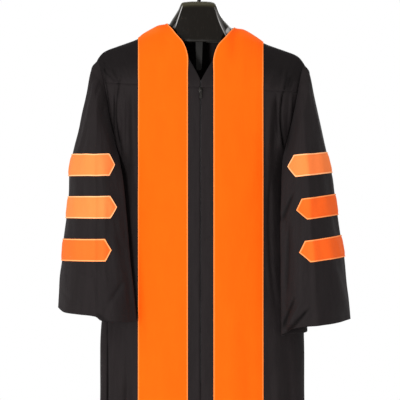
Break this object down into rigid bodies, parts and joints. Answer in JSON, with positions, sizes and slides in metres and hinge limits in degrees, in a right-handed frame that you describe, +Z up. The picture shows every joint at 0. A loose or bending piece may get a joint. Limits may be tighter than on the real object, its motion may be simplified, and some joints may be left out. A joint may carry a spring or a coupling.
{
  "type": "graduation gown on a hanger",
  "caption": "Long open-hem gown with wide bell sleeves, velvet front facings and pointed sleeve bars, hanging on a moulded hanger with a wire hook.",
  "frame": {"origin": "inner top of the hanger's hook, where a rail carries it", "axes": "+Z up, the gown's front faces -Y, +X to the viewer's right seen from the front"},
  "size_m": [0.7186, 0.3333, 1.4295],
  "materials": {
    "black_cloth": "matt woven polyester",
    "orange_velvet": "short-pile velvet",
    "bar_velvet": "short-pile velvet, nap turned so that it looks paler",
    "black_plastic": "gloss moulding",
    "hook_steel": "plated wire",
    "zip_tape": "woven tape",
    "zip_teeth": "nylon coil",
    "zip_metal": "dark plated"
  },
  "bodies": {
    "gown": {"back": "black_cloth", "bar_left_1": "bar_velvet", "bar_left_2": "bar_velvet", "bar_left_3": "bar_velvet", "bar_right_1": "bar_velvet", "bar_right_2": "bar_velvet", "bar_right_3": "bar_velvet", "front_left": "black_cloth", "front_right": "black_cloth", "hanger_rib": "black_plastic", "hanger_shell": "black_plastic", "hook": "hook_steel", "hook_collar": "hook_steel", "sleeve_left": "black_cloth", "sleeve_right": "black_cloth", "velvet_left": "orange_velvet", "velvet_neck_back": "orange_velvet", "velvet_right": "orange_velvet", "yoke_back": "black_cloth", "yoke_front_left": "black_cloth", "yoke_front_right": "black_cloth", "zip_chain": "zip_teeth", "zip_slider": "zip_metal", "zip_tape": "zip_tape"},
    "pull_tab": {"pull_tab": "zip_metal"}
  },
  "joints": [
    {"name": "pull_tab_hinge", "type": "hinge", "parent": "gown", "child": "pull_tab", "pos_m": [0.004, -0.08754, -0.2862], "axis": [-1, 0, 0], "range_deg": [0, 165]}
  ]
}
